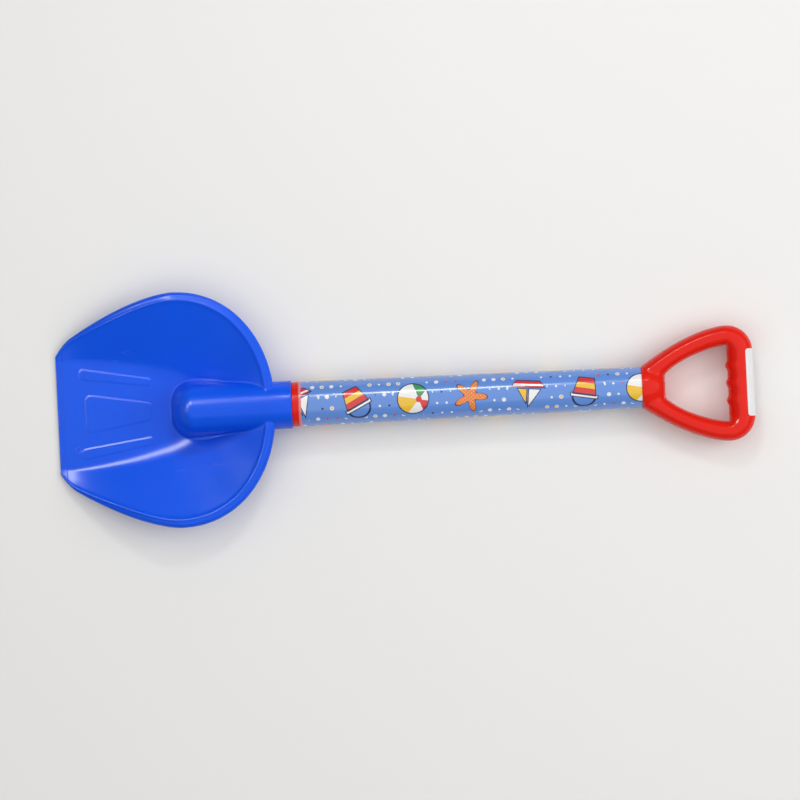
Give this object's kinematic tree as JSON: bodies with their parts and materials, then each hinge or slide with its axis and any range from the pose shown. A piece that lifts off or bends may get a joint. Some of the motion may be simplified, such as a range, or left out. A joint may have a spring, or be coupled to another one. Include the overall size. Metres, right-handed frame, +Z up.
{
  "type": "toy sand shovel",
  "caption": "Child's sand shovel: a broad dished blade with a moulded socket, a tapered tubular shaft in a printed film sleeve, and a D-shaped hand grip.",
  "frame": {"origin": "centre of the object's footprint on the ground, under the shaft, with the shovel lying on the back of its blade", "axes": "+X along the shaft towards the grip, +Z up out of the scoop, +Y across the blade"},
  "size_m": [0.7003, 0.236, 0.0494],
  "materials": {
    "blade_plastic": "moulded, half gloss",
    "tube_plastic": "extruded, half gloss",
    "sleeve_film": "printed shrink film, glossy",
    "grip_plastic": "moulded, half gloss",
    "label_paper": "bare white sticker, satin"
  },
  "bodies": {
    "root": {"blade": "blade_plastic", "shaft_tube": "tube_plastic", "printed_sleeve": "sleeve_film", "grip_front_shell": "grip_plastic", "grip_rear_shell": "grip_plastic", "grip_label": "label_paper"}
  },
  "joints": []
}
